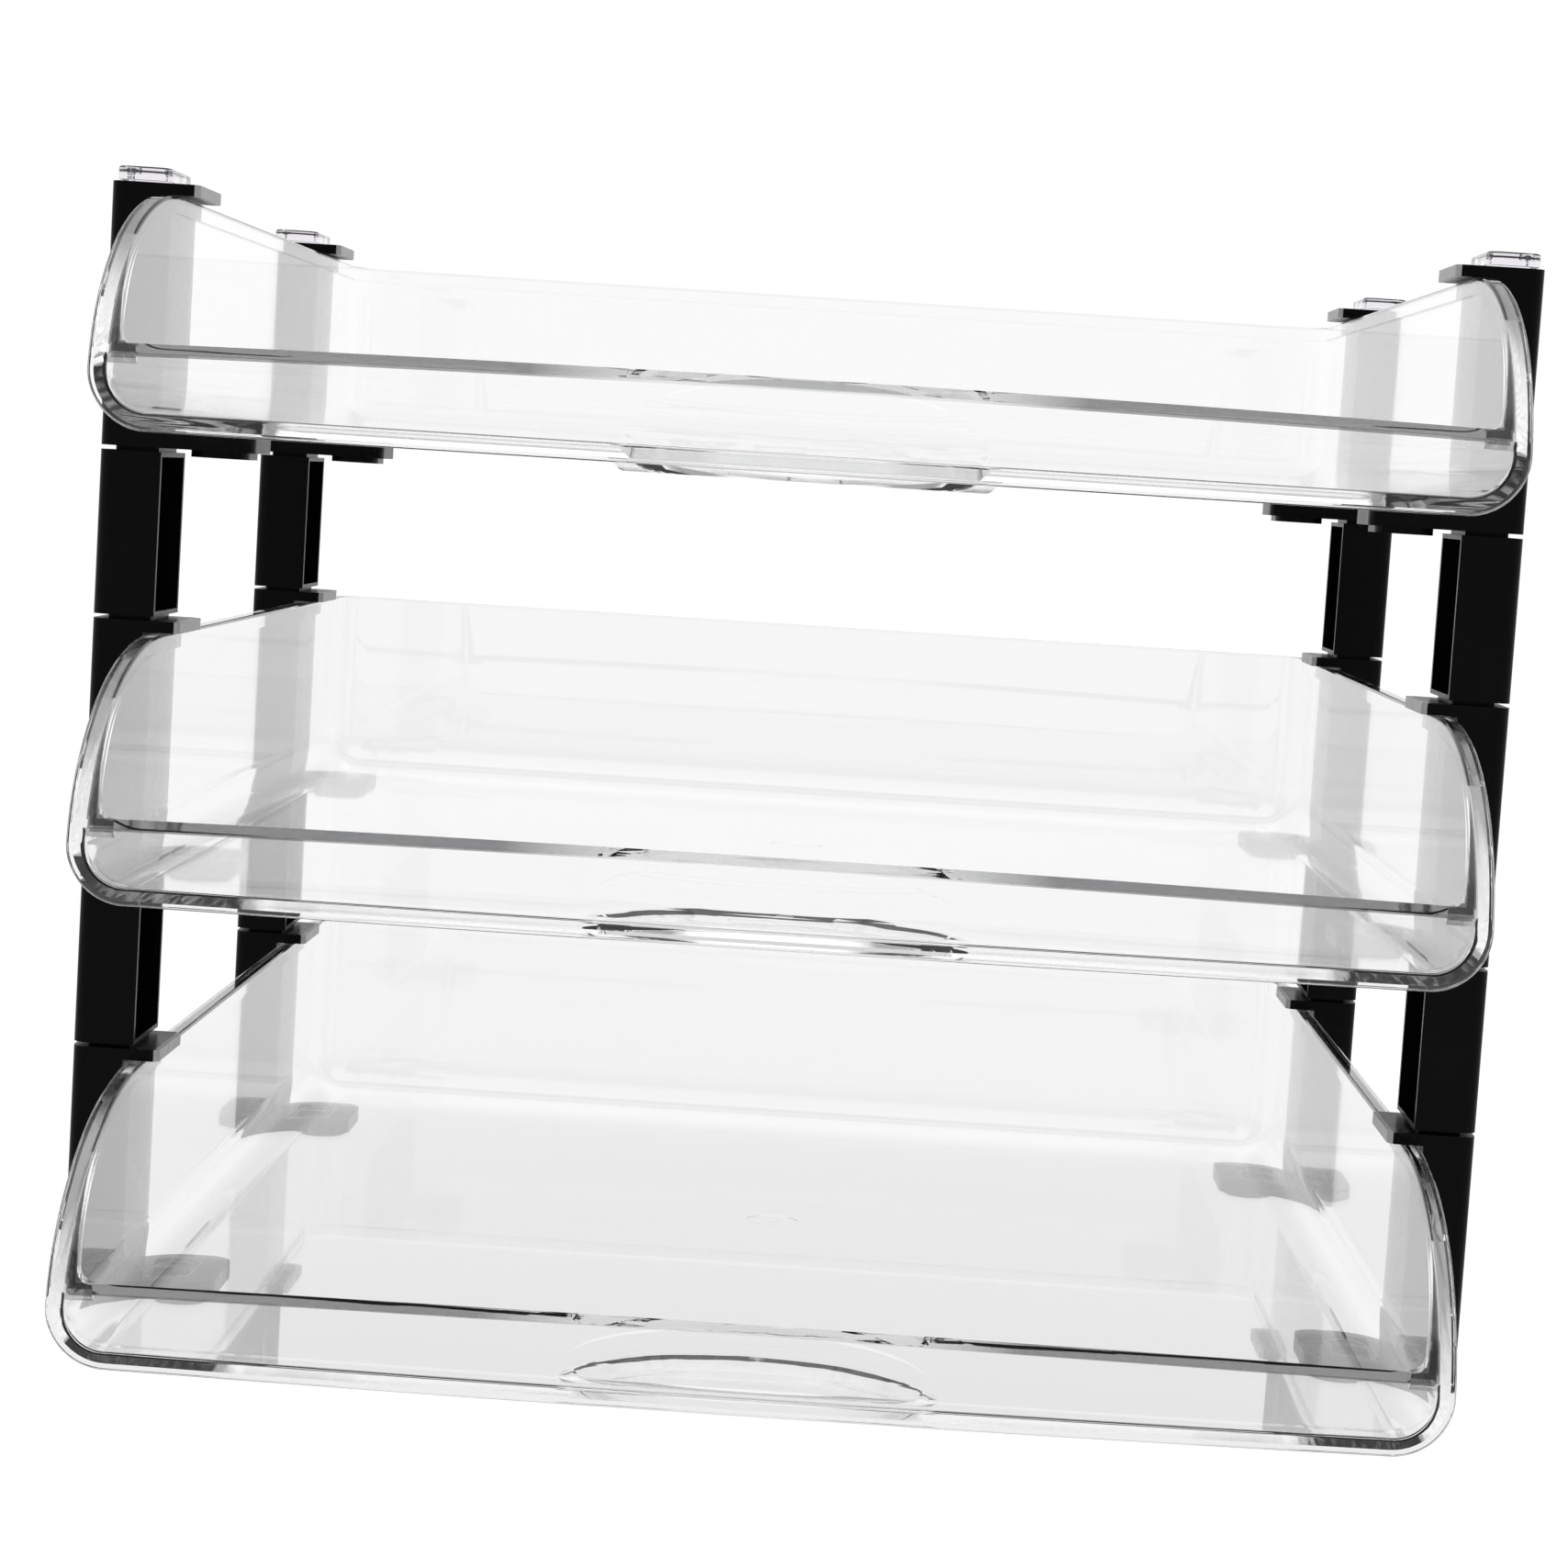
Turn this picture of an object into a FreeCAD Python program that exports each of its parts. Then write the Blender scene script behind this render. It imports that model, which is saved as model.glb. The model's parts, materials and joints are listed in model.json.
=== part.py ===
"""Three-tier letter tray: three clear trays that slide in C-shaped holders on four corner posts.

Units are millimetres.  X runs across the tray (left to right), +Y runs from the open front to
the back wall and +Z is up.  The origin is the centre of the footprint, on the surface that the
four feet stand on.
"""
import FreeCAD, Part
import math
import os

V = FreeCAD.Vector
TINY = 1e-6                  # two lengths closer than this are the same
ALLOWANCE = 1.0              # how far a cutting shape overshoots what it cuts

# ---- overall ------------------------------------------------------------------------------
TIERS = 3
POST_SPAN = 270.0            # outer face to outer face of the left and right posts
TRAY_LENGTH = 319.5          # front edge to back rim
FRONT_OVERHANG = 69.0        # tray front edge to the front face of the front posts
POST_PITCH = 189.8           # front face of the front posts to front face of the back posts
POST_DEPTH = 25.5
RUNNING_GAP = 0.3            # above and below a tray in the holders it slides in
SIDE_GAP = 0.6               # between a tray's bead and the holders' webs

# ---- holder: a C-shaped clip as tall as the tray, with sockets at both ends ------------------
HOLDER_HEIGHT = 49.6
WEB_WIDTH = 10.0
OUTER_CORNER = 2.6           # rounding of a post's two outer upright edges
TOP_ARM_REACH = 16.8
TOP_ARM_THICKNESS = 2.2
TOP_ARM_CORNER = 2.0
LOW_ARM_REACH = 29.2
LOW_ARM_THICKNESS = 3.3
LOW_ARM_CORNER = 4.5
SOCKET_INSET = 2.6           # wall left round a socket on its outer, front and back sides
SOCKET_WIDTH = 5.6
SOCKET_DEPTH = 12.0
SOCKET_CORNER = 1.5
BOSS_START = 16.2            # oval ring under the low arm, measured from the outer face
BOSS_WIDTH = 11.2
BOSS_LENGTH = 19.6
BOSS_HEIGHT = 1.3
BOSS_WALL = 1.3
BOSS_NOSE = 5.5              # rounding of the ring's corners, nearly half its width
POCKET_DEPTH = 0.8           # D-shaped recess in the top of the low arm
POCKET_START = 13.6
POCKET_WIDTH = 10.4
POCKET_LENGTH = 19.0
POCKET_RIB = 1.1
POCKET_NOSE = 4.6            # rounding of the D's far corners

# ---- spacer: a box open on its inner side, with a peg at each end ---------------------------
SPACER_HEIGHT = 31.2
SPACER_WIDTH = 11.9
SPACER_WALL = 1.2
SPACER_END_WALL = 0.9
NECK_HEIGHT = 0.8            # shadow gap between two stacked pieces
NECK_INSET = 2.6
NECK_WIDTH = 8.2
NECK_CORNER = 1.0
PEG_LENGTH = 9.0
PEG_CLEARANCE = 0.12
PEG_CHAMFER = 0.6

# ---- cap: a clear plug for the topmost sockets ----------------------------------------------
CAP_THICKNESS = 2.5
CAP_WIDTH = 10.2
CAP_INSET = 0.8
CAP_NECK_HEIGHT = 0.4
CAP_EDGE = 0.5

# ---- tray -----------------------------------------------------------------------------------
WALL = 2.0
BEAD_OUT = 0.8               # how far the edge bead stands out of the wall
BEAD_IN = 0.5                # how far it stands into the tray
BEAD_WIDTH = 3.2             # width of the bead, measured back from the edge
BOTTOM_ROUND = 10.0          # outside radius along the floor and at the back corners
SWEEP_LENGTH = 66.0          # the sides fall from rim to front along a quarter ellipse
SWEEP_DROP = 36.0
FRONT_BOW = 3.0              # the front edge stands this far forward at the middle
LIP_BASE_SETBACK = 12.0      # front edge to the foot of the lip, at the middle
LIP_TOP_SETBACK = 1.0        # the lip leans forward until the front edge's sweep trims it
LIP_HEIGHT = 13.7            # tray underside to that trimming line, at the lip's middle
LIP_BOW = 1.65               # the lip's foot bows less than the front edge
LIP_WALL = 1.5
EDGE_ROUND = 0.6
HORN_WIDTH = 1.8             # the lip's ends turn up along the side walls as tapering ribs
HORN_START = 13.95           # tray underside to where the turn begins
HORN_HEIGHT = 20.0
HORN_ROUND = 3.0

# ---- finger scoop at the middle of the lip --------------------------------------------------
SCOOP_HALF_WIDTH = 33.5
SCOOP_LENGTH = 24.0
SCOOP_DEPTH = 2.2
SCOOP_SLOPE = 3.2            # the dish narrows by this much over its depth
DISH_ROUND = 1.0
SWELL_HALF_WIDTH = 31.0
SWELL_HALF_HEIGHT = 12.0     # measured up the leaning lip
SWELL_CENTRE = 5.0           # tray underside to the middle of the swelling
SCOOP_BULGE = 1.2            # how far the lip stands forward round the scoop
GATE_RADIUS = 5.7            # moulding mark under the middle of the floor
GATE_DEPTH = 0.3
GATE_NUB = 1.3
GATE_Y = 8.85                # a little behind the middle of the footprint

# ---- derived --------------------------------------------------------------------------------
PITCH = HOLDER_HEIGHT + SPACER_HEIGHT + 2 * NECK_HEIGHT
HALF_SPAN = POST_SPAN / 2
FRONT_Y = -TRAY_LENGTH / 2
BACK_Y = TRAY_LENGTH / 2
FRONT_POST_Y = FRONT_Y + FRONT_OVERHANG
BACK_POST_Y = FRONT_POST_Y + POST_PITCH
TRAY_BOTTOM = LOW_ARM_THICKNESS + RUNNING_GAP
TRAY_TOP = HOLDER_HEIGHT - TOP_ARM_THICKNESS - RUNNING_GAP
BEAD_HALF = HALF_SPAN - WEB_WIDTH - SIDE_GAP
WALL_HALF = BEAD_HALF - BEAD_OUT
BIG = 4 * TRAY_LENGTH
BOW_RADIUS = (WALL_HALF ** 2 + FRONT_BOW ** 2) / (2 * FRONT_BOW)
LIP_RADIUS = (WALL_HALF ** 2 + LIP_BOW ** 2) / (2 * LIP_BOW)
LEVEL_NAMES = ("bottom", "middle", "top")


def box(x0, x1, y0, y1, z0, z1):
    return Part.makeBox(x1 - x0, y1 - y0, z1 - z0, V(x0, y0, z0))


def upright_edges(shape, test):
    """Straight vertical edges of a shape whose x passes the test."""
    found = []
    for edge in shape.Edges:
        b = edge.BoundBox
        if b.ZLength > TINY and max(b.XLength, b.YLength) < TINY and test(b.XMin):
            found.append(edge)
    return found


def rounded_block(x0, x1, y0, y1, z0, z1, outer, inner):
    """A block with its two edges at x0 rounded by outer and its two at x1 by inner."""
    block = box(x0, x1, y0, y1, z0, z1)
    if outer:
        block = block.makeFillet(outer, upright_edges(block, lambda x: abs(x - x0) < TINY))
    if inner:
        block = block.makeFillet(inner, upright_edges(block, lambda x: abs(x - x1) < TINY))
    return block


def d_prism(x0, width, length, z0, z1, nose):
    """A D-shaped prism centred across the post: flat at x0, rounded by nose at the far side."""
    y0 = (POST_DEPTH - length) / 2
    return rounded_block(x0, x0 + width, y0, y0 + length, z0, z1, 0.0, nose)


# ---- posts (drawn for the left side: outer face at x = 0, arms towards +X) --------------------
def socket(z0, z1):
    y0, y1 = SOCKET_INSET, POST_DEPTH - SOCKET_INSET
    return rounded_block(SOCKET_INSET, SOCKET_INSET + SOCKET_WIDTH, y0, y1, z0, z1,
                         0.0, SOCKET_CORNER)


def arm_boss():
    """Oval ring that hangs under the low arm; on the lowest tier it is the foot."""
    y0 = (POST_DEPTH - BOSS_LENGTH) / 2
    x1 = BOSS_START + BOSS_WIDTH
    ring = rounded_block(BOSS_START, x1, y0, y0 + BOSS_LENGTH, -BOSS_HEIGHT, 0.0,
                         BOSS_NOSE, BOSS_NOSE)
    hole = rounded_block(BOSS_START + BOSS_WALL, x1 - BOSS_WALL, y0 + BOSS_WALL,
                         y0 + BOSS_LENGTH - BOSS_WALL, -BOSS_HEIGHT, 0.0,
                         BOSS_NOSE - BOSS_WALL, BOSS_NOSE - BOSS_WALL)
    return ring.cut(hole)


def arm_pocket():
    """D-shaped recess in the top of the low arm, crossed by a rib."""
    low, high = LOW_ARM_THICKNESS - POCKET_DEPTH, LOW_ARM_THICKNESS
    pocket = d_prism(POCKET_START, POCKET_WIDTH, POCKET_LENGTH, low, high, POCKET_NOSE)
    middle = POST_DEPTH / 2
    rib = box(0, LOW_ARM_REACH, middle - POCKET_RIB / 2, middle + POCKET_RIB / 2, low, high)
    return pocket.cut(rib)


def make_holder():
    web = box(0, WEB_WIDTH, 0, POST_DEPTH, 0, HOLDER_HEIGHT)
    low_arm = rounded_block(0, LOW_ARM_REACH, 0, POST_DEPTH, 0, LOW_ARM_THICKNESS,
                            0.0, LOW_ARM_CORNER)
    top_arm = rounded_block(0, TOP_ARM_REACH, 0, POST_DEPTH,
                            HOLDER_HEIGHT - TOP_ARM_THICKNESS, HOLDER_HEIGHT,
                            0.0, TOP_ARM_CORNER)
    body = web.fuse([low_arm, top_arm]).removeSplitter()
    body = body.makeFillet(OUTER_CORNER, upright_edges(body, lambda x: abs(x) < TINY))
    body = body.fuse(arm_boss()).cut(arm_pocket())
    body = body.cut(socket(0, SOCKET_DEPTH))
    return body.cut(socket(HOLDER_HEIGHT - SOCKET_DEPTH, HOLDER_HEIGHT))


def peg(z_neck, z_end):
    """A peg with its shoulder: the shoulder fills the shadow gap, the peg fills a socket."""
    direction = 1 if z_end > z_neck else -1
    shoulder_end = z_neck + direction * NECK_HEIGHT
    low, high = sorted((z_neck, shoulder_end))
    neck = rounded_block(NECK_INSET, NECK_INSET + NECK_WIDTH, NECK_INSET,
                         POST_DEPTH - NECK_INSET, low, high, NECK_CORNER, NECK_CORNER)
    low, high = sorted((shoulder_end, z_end))
    inset = SOCKET_INSET + PEG_CLEARANCE
    width = SOCKET_WIDTH - 2 * PEG_CLEARANCE
    shaft = rounded_block(inset, inset + width, inset, POST_DEPTH - inset, low, high,
                          0.0, SOCKET_CORNER - PEG_CLEARANCE)
    tip = [e for e in shaft.Edges
           if max(abs(e.BoundBox.ZMin - z_end), abs(e.BoundBox.ZMax - z_end)) < TINY]
    shaft = shaft.makeChamfer(PEG_CHAMFER, tip)
    return neck.fuse(shaft)


def make_spacer():
    body = rounded_block(0, SPACER_WIDTH, 0, POST_DEPTH, 0, SPACER_HEIGHT, OUTER_CORNER, 0.0)
    cavity = rounded_block(SPACER_WALL, SPACER_WIDTH + ALLOWANCE, SPACER_WALL, POST_DEPTH - SPACER_WALL,
                           SPACER_END_WALL, SPACER_HEIGHT - SPACER_END_WALL,
                           OUTER_CORNER - SPACER_WALL, 0.0)
    body = body.cut(cavity)
    upper = peg(SPACER_HEIGHT, SPACER_HEIGHT + NECK_HEIGHT + PEG_LENGTH)
    lower = peg(0, -NECK_HEIGHT - PEG_LENGTH)
    return body.fuse([upper, lower]).removeSplitter()


def make_cap():
    """Drawn with its underside at z = 0; the neck and peg hang below."""
    x1 = CAP_INSET + CAP_WIDTH
    plate = rounded_block(CAP_INSET, x1, CAP_INSET, POST_DEPTH - CAP_INSET, 0, CAP_THICKNESS,
                          OUTER_CORNER, OUTER_CORNER)
    top = [e for e in plate.Edges if abs(e.BoundBox.ZMin - CAP_THICKNESS) < TINY]
    plate = plate.makeFillet(CAP_EDGE, top)
    lower = peg(NECK_HEIGHT - CAP_NECK_HEIGHT, -CAP_NECK_HEIGHT - PEG_LENGTH)
    return plate.fuse(lower.common(box(0, BIG, 0, BIG, -BIG, 0))).removeSplitter()


def placed(shape, side, back, z):
    """Put a left-hand piece on its post; the right-hand one is its mirror image."""
    copy = shape.copy()
    copy.translate(V(-HALF_SPAN, BACK_POST_Y if back else FRONT_POST_Y, z))
    if side == "right":
        copy = copy.mirror(V(0, 0, 0), V(1, 0, 0))
    return copy


# ---- tray (drawn with the holder's underside at z = 0) ----------------------------------------
def basin(grow):
    """Solid basin shape, grown outwards by grow from the tray's outer wall face.

    It runs on past the front edge and the rim, where edge_region trims it.
    """
    half = WALL_HALF + grow
    front = FRONT_Y - BOTTOM_ROUND
    body = box(-half, half, front, BACK_Y - BEAD_OUT + grow, TRAY_BOTTOM - grow, HOLDER_HEIGHT)
    edges = []
    for edge in body.Edges:
        b = edge.BoundBox
        low = b.ZMax < TRAY_BOTTOM - grow + ALLOWANCE
        behind = b.YMin > 0
        along_y = b.YLength > ALLOWANCE
        along_x = b.XLength > ALLOWANCE
        upright = b.ZLength > ALLOWANCE
        if (low and along_y) or (low and along_x and behind) or (upright and behind):
            edges.append(edge)
    return body.makeFillet(BOTTOM_ROUND + grow, edges)


def edge_region(inset):
    """Everything below the rim and behind the swept front edge, moved in by inset.

    The outline is turned about a distant upright axis, so that the front edge bows forward.
    """
    a, b = SWEEP_LENGTH - inset, SWEEP_DROP - inset
    top, front = TRAY_TOP - inset, BOW_RADIUS - inset
    toe, knee = V(front, 0, top - b), V(front - a, 0, top)
    ellipse = Part.Ellipse(toe, knee, V(front - a, 0, top - b))
    sweep = Part.ArcOfEllipse(ellipse, ellipse.parameter(toe), ellipse.parameter(knee)).toShape()
    hub, deep = V(0, 0, top), V(0, 0, -HOLDER_HEIGHT)
    foot = V(front, 0, -HOLDER_HEIGHT)
    lines = [Part.makeLine(knee, hub), Part.makeLine(hub, deep), Part.makeLine(deep, foot),
             Part.makeLine(foot, toe)]
    wire = Part.Wire(Part.__sortEdges__([sweep] + lines))
    solid = Part.Face(wire).revolve(V(0, 0, 0), V(0, 0, 1), 360)
    solid.translate(V(0, FRONT_Y + BOW_RADIUS, 0))
    return solid


def lip_solids(low, back=0.0):
    """Solids behind the lip's outer and inner faces, from height low up.

    The faces are cones about a distant upright axis, so the lip leans forward and bows a little;
    back moves the inner one further back.
    """
    lean = (LIP_BASE_SETBACK - LIP_TOP_SETBACK) / LIP_HEIGHT
    high = HOLDER_HEIGHT
    hub = V(0, FRONT_Y + LIP_BASE_SETBACK + LIP_RADIUS, low)
    thickness = LIP_WALL * math.hypot(1, lean)
    found = []
    for inset in (0.0, thickness + back):
        foot = LIP_RADIUS - inset
        found.append(Part.makeCone(foot + lean * (low - TRAY_BOTTOM),
                                   foot + lean * (high - TRAY_BOTTOM), high - low, hub))
    return found


def front_slice(shape):
    """Keep only the part near the tray's front."""
    return shape.common(box(-HALF_SPAN, HALF_SPAN, FRONT_Y - ALLOWANCE, FRONT_Y + SWEEP_LENGTH,
                            -HOLDER_HEIGHT, HOLDER_HEIGHT))


def horns():
    """Ribs that carry the lip's ends up along the side walls, tapering to nothing."""
    inner = WALL_HALF - WALL - BEAD_IN
    edge = inner - HORN_WIDTH
    low = TRAY_BOTTOM + HORN_START
    high = low + HORN_HEIGHT
    turn = HORN_ROUND * (1 - math.sqrt(0.5))
    corner = Part.Arc(V(edge - HORN_ROUND, 0, low), V(edge - turn, 0, low + turn),
                      V(edge, 0, low + HORN_ROUND)).toShape()
    points = [V(edge, 0, low + HORN_ROUND), V(inner, 0, high), V(WALL_HALF, 0, high),
              V(WALL_HALF, 0, TRAY_BOTTOM), V(edge - HORN_ROUND, 0, TRAY_BOTTOM),
              V(edge - HORN_ROUND, 0, low)]
    lines = [Part.makeLine(p, q) for p, q in zip(points, points[1:])]
    wire = Part.Wire(Part.__sortEdges__([corner] + lines))
    rib = Part.Face(wire).extrude(V(0, TRAY_LENGTH, 0))
    rib.translate(V(0, FRONT_Y, 0))
    behind_lip = lip_solids(TRAY_BOTTOM)[0]
    rib = rib.common(edge_region(0.0).cut(edge_region(BEAD_WIDTH)))
    rib = rib.common(basin(0.0)).common(behind_lip).Solids[0]
    return [rib, rib.mirror(V(0, 0, 0), V(1, 0, 0))]


def oval_frustum(a, b, high, low, round_over):
    """Dish plug with oval top and bottom, centred on the lip's foot, its lower edge rounded."""
    wires = []
    for inset, z in ((0.0, high), (SCOOP_SLOPE, low)):
        centre = V(0, FRONT_Y + LIP_BASE_SETBACK, z)
        wires.append(Part.Wire(Part.Ellipse(centre, a - inset, b - inset).toShape()))
    plug = Part.makeLoft(wires, True, True)
    rim = [e for e in plug.Edges if abs(e.BoundBox.ZMax - low) < TINY]
    return plug.makeFillet(round_over, rim)


def thumb_swell(shrink):
    """Doughnut whose outer side stands forward of the lip as a shallow oval swelling."""
    lean = (LIP_BASE_SETBACK - LIP_TOP_SETBACK) / LIP_HEIGHT
    across = SWELL_HALF_WIDTH ** 2 / (2 * SCOOP_BULGE)
    upright = SWELL_HALF_HEIGHT ** 2 / (2 * SCOOP_BULGE)
    ring = Part.makeTorus(across - upright, upright - shrink)
    ring.translate(V(0, across - SCOOP_BULGE, 0))
    ring.rotate(V(0, 0, 0), V(1, 0, 0), math.degrees(math.atan(lean)))
    ring.translate(V(0, FRONT_Y + LIP_BASE_SETBACK - lean * SWELL_CENTRE,
                     TRAY_BOTTOM + SWELL_CENTRE))
    return front_slice(ring).common(box(-BIG, BIG, -BIG, BIG, TRAY_BOTTOM, HOLDER_HEIGHT))


def scoop_skin():
    """Material added for the finger scoop: a dish below the floor and a swelling of the lip."""
    outer, inner = lip_solids(TRAY_BOTTOM - SCOOP_DEPTH)
    dish = oval_frustum(SCOOP_HALF_WIDTH + WALL, SCOOP_LENGTH + WALL, TRAY_BOTTOM + WALL / 2,
                        TRAY_BOTTOM - SCOOP_DEPTH, DISH_ROUND + WALL / 2)
    swell = thumb_swell(0.0).cut(inner).common(front_slice(edge_region(0.0)))
    return [front_slice(dish.common(outer)), swell]


def scoop_hollow():
    """Material removed for the finger scoop, one wall thickness inside its skin."""
    floor_top = TRAY_BOTTOM + WALL
    outer, inner = lip_solids(TRAY_BOTTOM - SCOOP_DEPTH)
    dish = oval_frustum(SCOOP_HALF_WIDTH, SCOOP_LENGTH, floor_top + ALLOWANCE,
                        floor_top - SCOOP_DEPTH, DISH_ROUND)
    behind = lip_solids(TRAY_BOTTOM, back=ALLOWANCE)[1]
    above = box(-BIG, BIG, -BIG, BIG, floor_top, HOLDER_HEIGHT)
    swell = thumb_swell(LIP_WALL).common(outer.cut(behind)).common(above)
    return [front_slice(dish.common(inner)), swell]


def soften(solid, faces, radius):
    """Round every edge where one of the given faces meets the rest of the solid."""
    rim = []
    for face in faces:
        for edge in face.Edges:
            if sum(any(edge.isSame(e) for e in f.Edges) for f in faces) == 1:
                rim.append(edge)
    return solid.makeFillet(radius, rim)


def open_edge_faces(shell):
    """The narrow faces left by trimming the basin: the rim, the swept sides and the front."""
    found = []
    for face in shell.Faces:
        surface = face.Surface
        turned = isinstance(surface, Part.SurfaceOfRevolution)
        bowed = isinstance(surface, Part.Cylinder) and surface.Radius > BOW_RADIUS / 2
        flat_rim = isinstance(surface, Part.Plane) and face.BoundBox.ZMin > TRAY_TOP - ALLOWANCE
        if turned or bowed or flat_rim:
            found.append(face)
    return found


def make_lip():
    """The low wall across the front, trimmed by the same sweep as the front edge."""
    outer, inner = lip_solids(TRAY_BOTTOM)
    lip = front_slice(outer.cut(inner)).common(edge_region(0.0)).common(basin(0.0))
    return lip.fuse(horns())


def gate_mark():
    """Shallow round recess under the middle of the floor with a small nub in it."""
    recess = Part.makeCylinder(GATE_RADIUS, GATE_DEPTH, V(0, GATE_Y, TRAY_BOTTOM))
    return recess.cut(Part.makeCylinder(GATE_NUB, GATE_DEPTH, V(0, GATE_Y, TRAY_BOTTOM)))


def make_tray():
    shell = basin(BEAD_OUT).cut(basin(-WALL - BEAD_IN)).common(edge_region(0.0)).Solids[0]
    shell = soften(shell, open_edge_faces(shell), EDGE_ROUND)
    behind_bead = edge_region(BEAD_WIDTH)
    outer_relief = basin(BEAD_OUT + ALLOWANCE).cut(basin(0.0)).common(behind_bead)
    inner_relief = basin(-WALL).cut(basin(-WALL - BEAD_IN)).common(behind_bead)
    shell = shell.cut([outer_relief, inner_relief])
    tray = shell.fuse([make_lip()] + scoop_skin()).cut(scoop_hollow() + [gate_mark()])
    return tray.removeSplitter()


def make_all():
    """Every piece by node name, in place."""
    pieces = {}
    holder, spacer, cap, tray = make_holder(), make_spacer(), make_cap(), make_tray()
    for level, level_name in enumerate(LEVEL_NAMES):
        base = BOSS_HEIGHT + level * PITCH
        lifted = tray.copy()
        lifted.translate(V(0, 0, base))
        pieces["tray_" + level_name] = lifted
        for back in (False, True):
            for side in ("left", "right"):
                corner = ("back_" if back else "front_") + side
                pieces["holder_%s_%s" % (corner, level_name)] = placed(holder, side, back, base)
                if level < TIERS - 1:
                    z = base + HOLDER_HEIGHT + NECK_HEIGHT
                    name = "spacer_%s_%s" % (corner, ("lower", "upper")[level])
                    pieces[name] = placed(spacer, side, back, z)
                else:
                    z = base + HOLDER_HEIGHT + CAP_NECK_HEIGHT
                    pieces["cap_" + corner] = placed(cap, side, back, z)
    return pieces


os.makedirs("parts", exist_ok=True)
for node, shape in make_all().items():
    shape.Solids[0].exportStep("parts/%s.step" % node)
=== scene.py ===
# Letter tray, visual model: clear polystyrene trays on black ABS posts, in the CAD frame (metres).
import bpy
import json
from mathutils import Matrix, Vector


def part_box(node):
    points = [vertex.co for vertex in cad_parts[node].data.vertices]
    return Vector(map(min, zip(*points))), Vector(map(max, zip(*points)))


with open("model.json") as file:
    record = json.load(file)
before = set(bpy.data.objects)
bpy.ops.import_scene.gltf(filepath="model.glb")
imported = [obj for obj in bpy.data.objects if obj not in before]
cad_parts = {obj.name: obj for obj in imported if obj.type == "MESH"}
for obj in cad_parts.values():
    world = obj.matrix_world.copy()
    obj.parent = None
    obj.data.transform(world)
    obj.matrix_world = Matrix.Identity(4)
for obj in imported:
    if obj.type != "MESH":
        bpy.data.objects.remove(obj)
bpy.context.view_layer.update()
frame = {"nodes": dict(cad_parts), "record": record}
scene = bpy.context.scene

# ---- tiers and posts, in metres -------------------------------------------------------------------
FIRST_TIER = 0.0013          # underside of the lowest tier's holders
TIER_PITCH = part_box("holder_front_left_middle")[0].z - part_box("holder_front_left_bottom")[0].z
POST_MIDDLES = [sum(corner.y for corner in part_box(spacer)) / 2
                for spacer in ("spacer_front_left_lower", "spacer_back_left_lower")]

# ---- painted shade: the dark line along the top of a tray's lip -----------------------------------
# Heights are above the underside of the tier's holders.
LIP_HALF = 0.1208
LIP_CROWN = 0.0012           # the lip's ends are this much lower than its middle
LIP_LINE_HEIGHT = 0.01813    # middle of the line
LIP_LINE_WIDTH = 0.0018
LIP_LINE_BACK = -0.150       # the line is drawn in front of this y
# painted shade: the tint of the dark line along the lip's top, where the lip's facet looks dark
LIP_SHADE_TINT = (0.11, 0.11, 0.115)
SCOOP_HALF = 0.028           # over the scoop the line is weak
SCOOP_FADE = 0.02            # and beyond it the line comes to full strength over this distance
SCOOP_SHARE = 0.35
HORN_INNER = 0.1193          # the line turns up along the side walls and narrows to nothing
HORN_OUTER = 0.12105
HORN_START = 0.01755
HORN_HEIGHT = 0.0195
HORN_BACK = -0.120

# ---- painted highlights on the holders: rings in the low arms' pockets and the top arms' tips -----
POCKET_MIDDLE = 0.1162
POCKET_HALF_WIDTH = 0.0052
POCKET_HALF_LENGTH = 0.0095
POCKET_NOSE = 0.0046
POCKET_LEVELS = (0.0024, 0.0034)
RING_WIDTH = 0.0013
RING_EDGE = 0.0002
TIP_ACROSS = 0.1192
TIP_LEVELS = (0.0472, 0.0498)
TIP_SHARE = 0.6
# painted highlight: the pale tint of the pockets' rings and the top arms' tips
HIGHLIGHT_TINT = (0.95, 0.92, 0.93)

# ---- finishes: a noise is its scale and its detail, a pair of tints is dark and pale --------------
TRAY_TINTS = ((0.982, 0.986, 0.985), (0.992, 0.994, 0.993))
CAP_TINTS = ((0.86, 0.83, 0.88), (0.91, 0.88, 0.93))
CLEAR_NOISE = (25, 2)
CLEAR_IOR = 1.57
FLOW_NOISE = (40, 3)
FLOW_STRETCH = (1, 0.2, 1)
CLEAR_ROUGHNESS = (0.0, 0.03)
WAVE_NOISE = (14, 1)
WAVE_STRENGTH = 0.05
WAVE_DEPTH = 0.0004

BLACK_TINTS = ((0.0016, 0.0016, 0.0018), (0.0032, 0.0031, 0.0034))
BLACK_NOISE = (60, 4)
BLACK_IOR = 1.5
BLACK_SPECULAR = 0.06
GLOSS_NOISE = (90, 4)
BLACK_ROUGHNESS = (0.22, 0.34)
GRAIN_NOISE = (900, 2)
GRAIN_STRENGTH = 0.08
GRAIN_DEPTH = 0.00005

# ---- floor, sky and camera ------------------------------------------------------------------------
FLOOR_SIZE = 12
FLOOR_LEVEL = -0.0002
FLOOR_TINTS = ((0.20, 0.20, 0.20), (0.23, 0.23, 0.23))
FLOOR_NOISE = (3, 3)
FLOOR_ROUGHNESS = 0.8
FLOOR_GLOW = (0.80, 0.94)    # as the plastic sees the floor, and as the camera sees it directly

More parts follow.
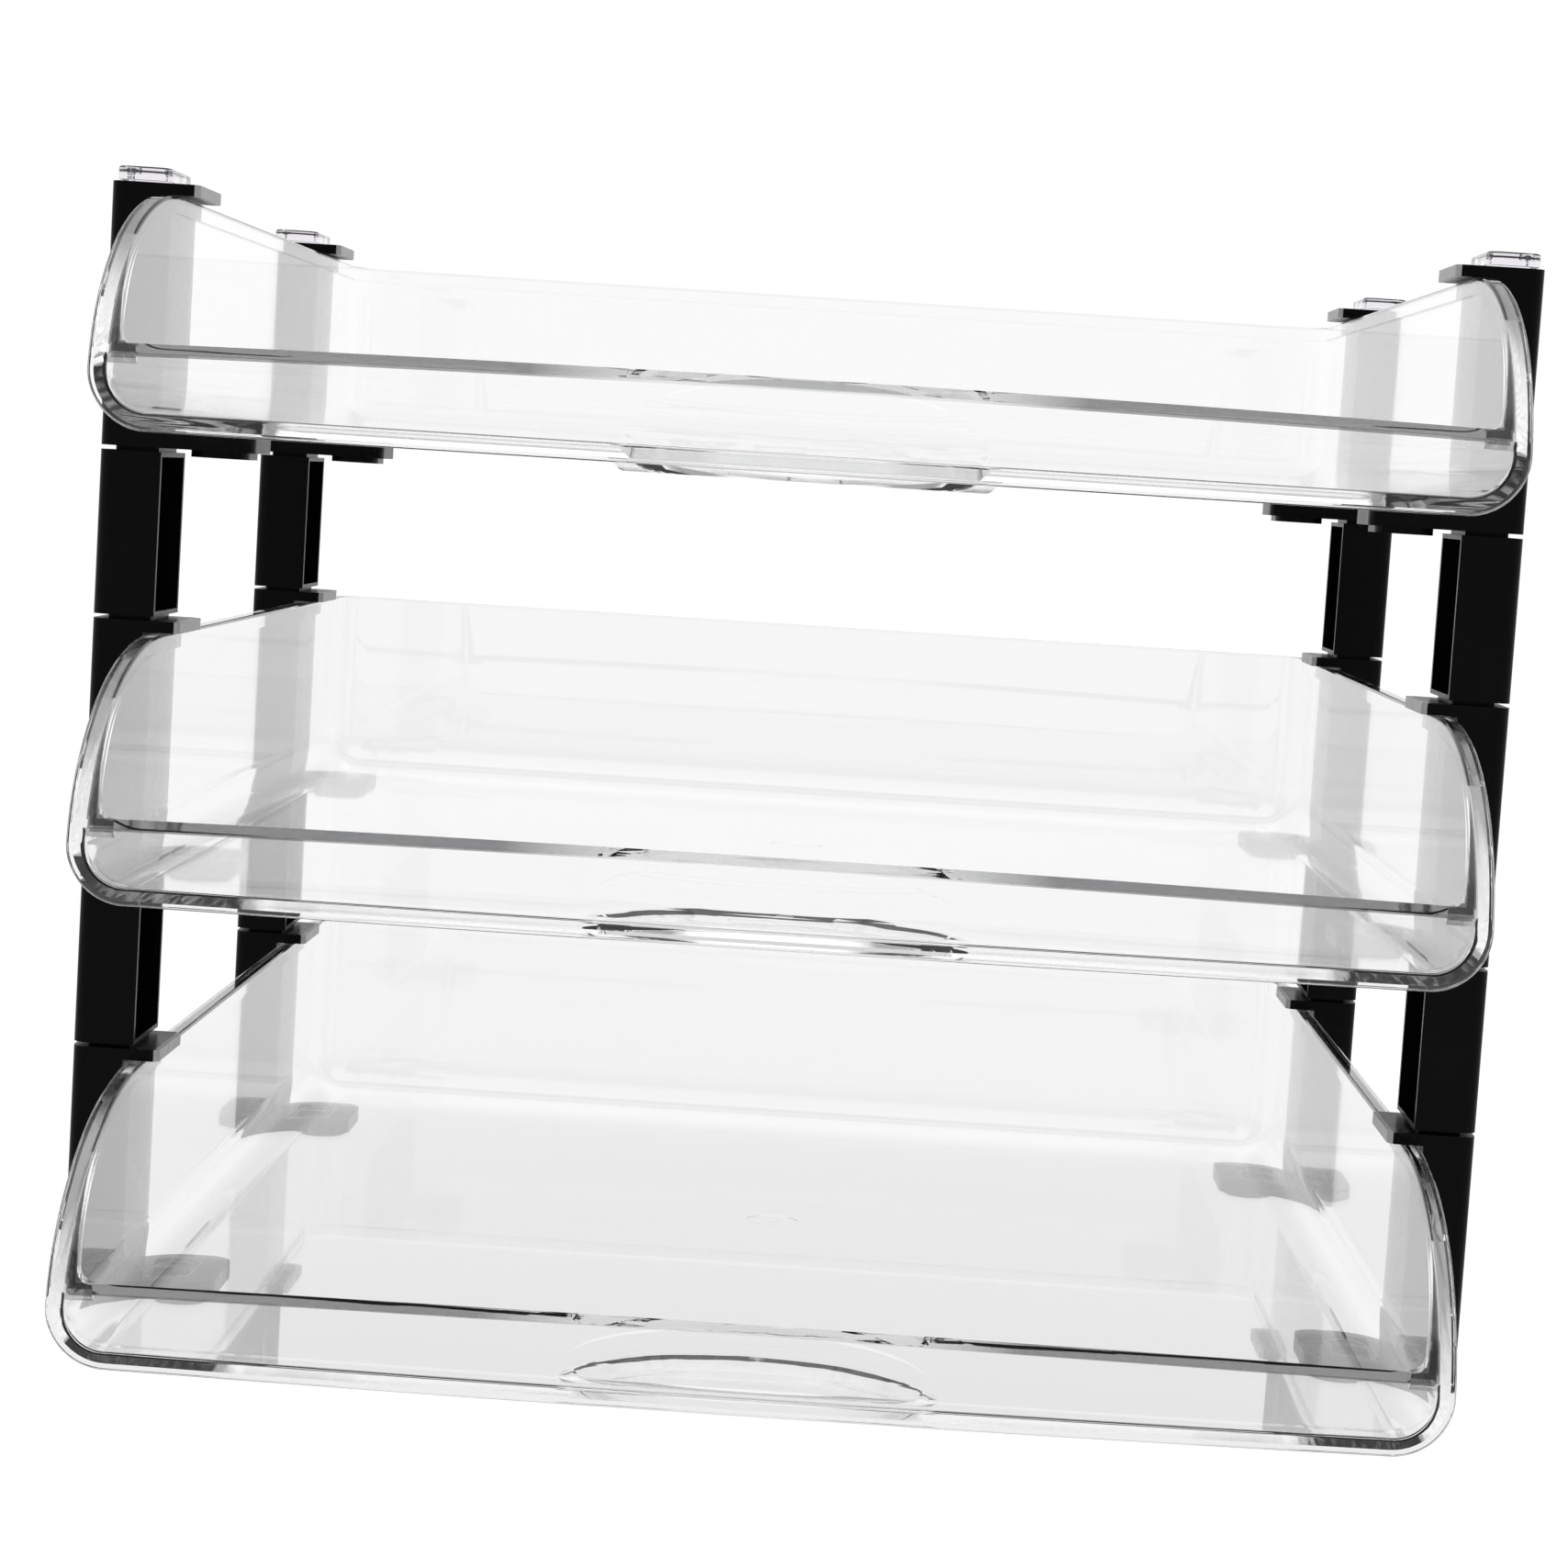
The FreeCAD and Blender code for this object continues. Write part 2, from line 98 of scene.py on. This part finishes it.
# Each pair is the sine of the elevation and the brightness there, as a part of SKY_STRENGTH.
SKY_BELTS = ((0.0, 0.80), (0.12, 0.80), (0.19, 0.66), (0.40, 0.28), (0.75, 0.28), (0.87, 1.0),
             (1.0, 1.0))
SKY_STRENGTH = 1.25
NEAR_SIDE = 0.6              # the sky on the camera's side, as a part of the rest
NEAR_TO_FAR = (-0.9, 0.3)    # the direction's y where it starts to brighten, and where it is full
BACKDROP_STRENGTH = 1.02
LIGHT_BOUNCES = 48           # a line of sight passes many clear walls

CAMERA_PLACE = Vector((0.0140, -0.82785, 0.1692))
ROLL, PITCH, YAW = 0.0635888, 0.0972996, 0.0152462
SENSOR = 36.0                # millimetres
FOCAL_LENGTH = 89.2412
CAMERA_SHIFT = (-0.0113, 0.043677)


# ---- node helpers ---------------------------------------------------------------------------------
def new_material(name):
    mat = bpy.data.materials.new(name)
    mat.use_nodes = True
    tree = mat.node_tree
    shader = tree.nodes["Principled BSDF"]
    return mat, tree, shader


def object_noise(tree, scale, detail, stretch=(1, 1, 1)):
    coords = tree.nodes.new("ShaderNodeTexCoord")
    mapping = tree.nodes.new("ShaderNodeMapping")
    mapping.inputs["Scale"].default_value = stretch
    noise = tree.nodes.new("ShaderNodeTexNoise")
    noise.inputs["Scale"].default_value = scale
    noise.inputs["Detail"].default_value = detail
    tree.links.new(coords.outputs["Object"], mapping.inputs["Vector"])
    tree.links.new(mapping.outputs["Vector"], noise.inputs["Vector"])
    return noise.outputs["Fac"]


def ranged(tree, value, low, high, start=0.0, end=1.0):
    """From low to high as the value goes from start to end."""
    node = tree.nodes.new("ShaderNodeMapRange")
    for socket, number in (("From Min", start), ("From Max", end), ("To Min", low), ("To Max", high)):
        node.inputs[socket].default_value = number
    tree.links.new(value, node.inputs["Value"])
    return node.outputs["Result"]


def bumped(tree, shader, height, strength, distance):
    bump = tree.nodes.new("ShaderNodeBump")
    bump.inputs["Strength"].default_value = strength
    bump.inputs["Distance"].default_value = distance
    tree.links.new(height, bump.inputs["Height"])
    tree.links.new(bump.outputs["Normal"], shader.inputs["Normal"])


def mixed(tree, factor, first, second):
    """From first to second as the factor goes from 0 to 1; each is a tint or a colour socket."""
    mix = tree.nodes.new("ShaderNodeMix")
    mix.data_type = "RGBA"
    for name, colour in (("A", first), ("B", second)):
        if isinstance(colour, tuple):
            mix.inputs[name].default_value = (*colour, 1)
        else:
            tree.links.new(colour, mix.inputs[name])
    tree.links.new(factor, mix.inputs["Factor"])
    return mix.outputs["Result"]


def combined(tree, operation, *values):
    node = tree.nodes.new("ShaderNodeMath")
    node.operation = operation
    for socket, value in zip(node.inputs, values):
        if isinstance(value, (int, float)):
            socket.default_value = value
        else:
            tree.links.new(value, socket)
    return node.outputs["Value"]


def band(tree, value, low, high):
    """1 where the value is between low and high, 0 elsewhere."""
    above = combined(tree, "GREATER_THAN", value, low)
    return combined(tree, "MULTIPLY", above, combined(tree, "LESS_THAN", value, high))


# ---- masks by place on the object -----------------------------------------------------------------
def tier_coordinates(tree):
    """Distance from the middle plane, y, and height above the underside of the tier's holders."""
    coords = tree.nodes.new("ShaderNodeTexCoord")
    split = tree.nodes.new("ShaderNodeSeparateXYZ")
    tree.links.new(coords.outputs["Object"], split.inputs["Vector"])
    across = combined(tree, "ABSOLUTE", split.outputs["X"])
    level = combined(tree, "SUBTRACT", split.outputs["Z"], FIRST_TIER)
    return across, split.outputs["Y"], combined(tree, "WRAP", level, TIER_PITCH, 0.0)


def painted_lip_shade(tree):
    """Mask of painted shade: 1 on the narrow facet along the top of a tray's lip, 0 elsewhere, and weak at
    the scoop.
    """
    across, y, height = tier_coordinates(tree)
    drop = combined(tree, "MULTIPLY", combined(tree, "POWER", across, 2.0), LIP_CROWN / LIP_HALF ** 2)
    over = combined(tree, "SUBTRACT", combined(tree, "ADD", height, drop), LIP_LINE_HEIGHT)
    on_facet = band(tree, over, -LIP_LINE_WIDTH / 2, LIP_LINE_WIDTH / 2)
    in_front = combined(tree, "LESS_THAN", y, LIP_LINE_BACK)
    inside = combined(tree, "LESS_THAN", across, LIP_HALF)
    away = ranged(tree, across, SCOOP_SHARE, 1.0, SCOOP_HALF, SCOOP_HALF + SCOOP_FADE)
    mask = combined(tree, "MULTIPLY", combined(tree, "MULTIPLY", on_facet, in_front), inside)
    line = combined(tree, "MULTIPLY", mask, away)
    taper = combined(tree, "MULTIPLY", combined(tree, "SUBTRACT", height, HORN_START),
                     (HORN_OUTER - HORN_INNER) / HORN_HEIGHT)
    beside = combined(tree, "GREATER_THAN", combined(tree, "SUBTRACT", across, taper), HORN_INNER)
    within = combined(tree, "MULTIPLY", combined(tree, "LESS_THAN", across, HORN_OUTER),
                      combined(tree, "LESS_THAN", y, HORN_BACK))
    turned_up = combined(tree, "MULTIPLY", band(tree, height, HORN_START, HORN_START + HORN_HEIGHT),
                         combined(tree, "MULTIPLY", beside, within))
    return combined(tree, "MAXIMUM", line, turned_up)


def painted_highlights(tree):
    """Mask of painted highlights: 1 on a ring inside the low arms' pockets, TIP_SHARE on the top arms'
    tips, 0 elsewhere.
    """
    across, y, height = tier_coordinates(tree)
    to_front, to_back = [combined(tree, "ABSOLUTE", combined(tree, "SUBTRACT", y, middle))
                         for middle in POST_MIDDLES]
    along = combined(tree, "MINIMUM", to_front, to_back)
    aside = combined(tree, "ABSOLUTE", combined(tree, "SUBTRACT", across, POCKET_MIDDLE))
    beyond = [combined(tree, "MAXIMUM", combined(tree, "SUBTRACT", value, half - POCKET_NOSE), 0.0)
              for value, half in ((aside, POCKET_HALF_WIDTH), (along, POCKET_HALF_LENGTH))]
    squares = [combined(tree, "MULTIPLY", value, value) for value in beyond]
    reach = combined(tree, "SQRT", combined(tree, "ADD", *squares))
    ring = band(tree, reach, POCKET_NOSE - RING_WIDTH, POCKET_NOSE + RING_EDGE)
    on_arm = combined(tree, "MULTIPLY", ring, band(tree, height, *POCKET_LEVELS))
    tips = combined(tree, "MULTIPLY", combined(tree, "LESS_THAN", across, TIP_ACROSS),
                    band(tree, height, *TIP_LEVELS))
    return combined(tree, "MAXIMUM", on_arm, combined(tree, "MULTIPLY", tips, TIP_SHARE))


# ---- materials ------------------------------------------------------------------------------------
def clear_plastic(name, tints, lip_shaded=False):
    """Moulded clear polystyrene: faint flow lines in the gloss and slow waves in the surface, and, if
    asked, painted shade along the top of the lip.
    """
    mat, tree, shader = new_material(name)
    colour = mixed(tree, object_noise(tree, *CLEAR_NOISE), *tints)
    if lip_shaded:
        # painted shade: a dark line along the top of the lip, tinted into the colour
        colour = mixed(tree, painted_lip_shade(tree), colour, LIP_SHADE_TINT)
    tree.links.new(colour, shader.inputs["Base Color"])
    shader.inputs["Transmission Weight"].default_value = 1.0
    shader.inputs["IOR"].default_value = CLEAR_IOR
    rough = ranged(tree, object_noise(tree, *FLOW_NOISE, FLOW_STRETCH), *CLEAR_ROUGHNESS)
    tree.links.new(rough, shader.inputs["Roughness"])
    bumped(tree, shader, object_noise(tree, *WAVE_NOISE), WAVE_STRENGTH, WAVE_DEPTH)
    return mat


def black_plastic():
    """Satin black moulding, a little uneven in its gloss, finely grained, with painted highlights on the
    pockets' rings and the top arms' tips.
    """
    mat, tree, shader = new_material("black_abs")
    body = mixed(tree, object_noise(tree, *BLACK_NOISE), *BLACK_TINTS)
    # painted highlights: pale rings in the pockets and pale tips on the top arms
    tree.links.new(mixed(tree, painted_highlights(tree), body, HIGHLIGHT_TINT), shader.inputs["Base Color"])
    shader.inputs["IOR"].default_value = BLACK_IOR
    shader.inputs["Specular IOR Level"].default_value = BLACK_SPECULAR
    rough = ranged(tree, object_noise(tree, *GLOSS_NOISE), *BLACK_ROUGHNESS)
    tree.links.new(rough, shader.inputs["Roughness"])
    bumped(tree, shader, object_noise(tree, *GRAIN_NOISE), GRAIN_STRENGTH, GRAIN_DEPTH)
    return mat


def floor_material():
    """Pale sweep that glows like a light table, and more brightly where the camera sees it directly."""
    mat, tree, shader = new_material("floor_paper")
    tree.links.new(mixed(tree, object_noise(tree, *FLOOR_NOISE), *FLOOR_TINTS), shader.inputs["Base Color"])
    shader.inputs["Roughness"].default_value = FLOOR_ROUGHNESS
    shader.inputs["Specular IOR Level"].default_value = 0.0
    shader.inputs["Emission Color"].default_value = (1, 1, 1, 1)
    path = tree.nodes.new("ShaderNodeLightPath")
    glow = ranged(tree, path.outputs["Is Camera Ray"], *FLOOR_GLOW)
    tree.links.new(glow, shader.inputs["Emission Strength"])
    return mat


def dress_nodes():
    """Give each CAD node the material of its slot."""
    materials = {"clear_tray": clear_plastic("clear_tray", TRAY_TINTS, lip_shaded=True),
                 "clear_cap": clear_plastic("clear_cap", CAP_TINTS),
                 "black_post": black_plastic()}
    slots = {row["node"]: row["material_slot"] for row in frame["record"]["subparts"]}
    for node, obj in frame["nodes"].items():
        obj.data.materials.clear()
        obj.data.materials.append(materials[slots[node]])


# ---- surroundings ---------------------------------------------------------------------------------
def lay_floor():
    bpy.ops.mesh.primitive_plane_add(size=FLOOR_SIZE, location=(0, 0, FLOOR_LEVEL))
    floor = bpy.context.object
    floor.name = "floor"
    floor.data.materials.append(floor_material())


def make_sky():
    """Plain white straight behind the object, and for all other rays a studio sky.

    The sky is pale at the horizon, dark in a belt above it, bright overhead like a wide softbox,
    and dimmer on the side that the camera stands on.
    """
    world = bpy.data.worlds.new("studio")
    world.use_nodes = True
    tree = world.node_tree
    coords = tree.nodes.new("ShaderNodeTexCoord")
    split = tree.nodes.new("ShaderNodeSeparateXYZ")
    tree.links.new(coords.outputs["Generated"], split.inputs["Vector"])

    ramp = tree.nodes.new("ShaderNodeValToRGB")
    belts = ramp.color_ramp.elements
    for height, _ in SKY_BELTS[1:-1]:
        belts.new(height)
    for belt, (_, level) in zip(belts, SKY_BELTS):
        belt.color = (level, level, level, 1)
    tree.links.new(split.outputs["Z"], ramp.inputs["Fac"])

    sky = tree.nodes["Background"]
    strength = ranged(tree, split.outputs["Y"], NEAR_SIDE * SKY_STRENGTH, SKY_STRENGTH, *NEAR_TO_FAR)
    tree.links.new(ramp.outputs["Color"], sky.inputs["Color"])
    tree.links.new(strength, sky.inputs["Strength"])
    backdrop = tree.nodes.new("ShaderNodeBackground")
    backdrop.inputs["Color"].default_value = (1, 1, 1, 1)
    backdrop.inputs["Strength"].default_value = BACKDROP_STRENGTH

    path = tree.nodes.new("ShaderNodeLightPath")
    chosen = tree.nodes.new("ShaderNodeMixShader")
    tree.links.new(path.outputs["Is Camera Ray"], chosen.inputs["Fac"])
    tree.links.new(sky.outputs["Background"], chosen.inputs[1])
    tree.links.new(backdrop.outputs["Background"], chosen.inputs[2])
    tree.links.new(chosen.outputs["Shader"], tree.nodes["World Output"].inputs["Surface"])
    return world


def make_camera():
    lens = bpy.data.cameras.new("camera")
    lens.sensor_width = SENSOR
    lens.lens = FOCAL_LENGTH
    lens.shift_x, lens.shift_y = CAMERA_SHIFT
    turn = Matrix.Rotation(ROLL, 3, "Z") @ Matrix.Rotation(PITCH, 3, "X") @ Matrix.Rotation(YAW, 3, "Y")
    upright = Matrix(((1, 0, 0), (0, 0, -1), (0, 1, 0)))
    flip = Matrix.Diagonal((1, -1, -1))
    pose = (upright.transposed() @ turn.transposed() @ flip).to_4x4()
    pose.translation = CAMERA_PLACE
    camera = bpy.data.objects.new("camera", lens)
    camera.matrix_world = pose
    scene.collection.objects.link(camera)
    return camera


dress_nodes()
lay_floor()
scene.world = make_sky()
scene.camera = make_camera()
scene.view_settings.view_transform = "Standard"
scene.cycles.max_bounces = LIGHT_BOUNCES
scene.cycles.transmission_bounces = LIGHT_BOUNCES
scene.cycles.glossy_bounces = LIGHT_BOUNCES
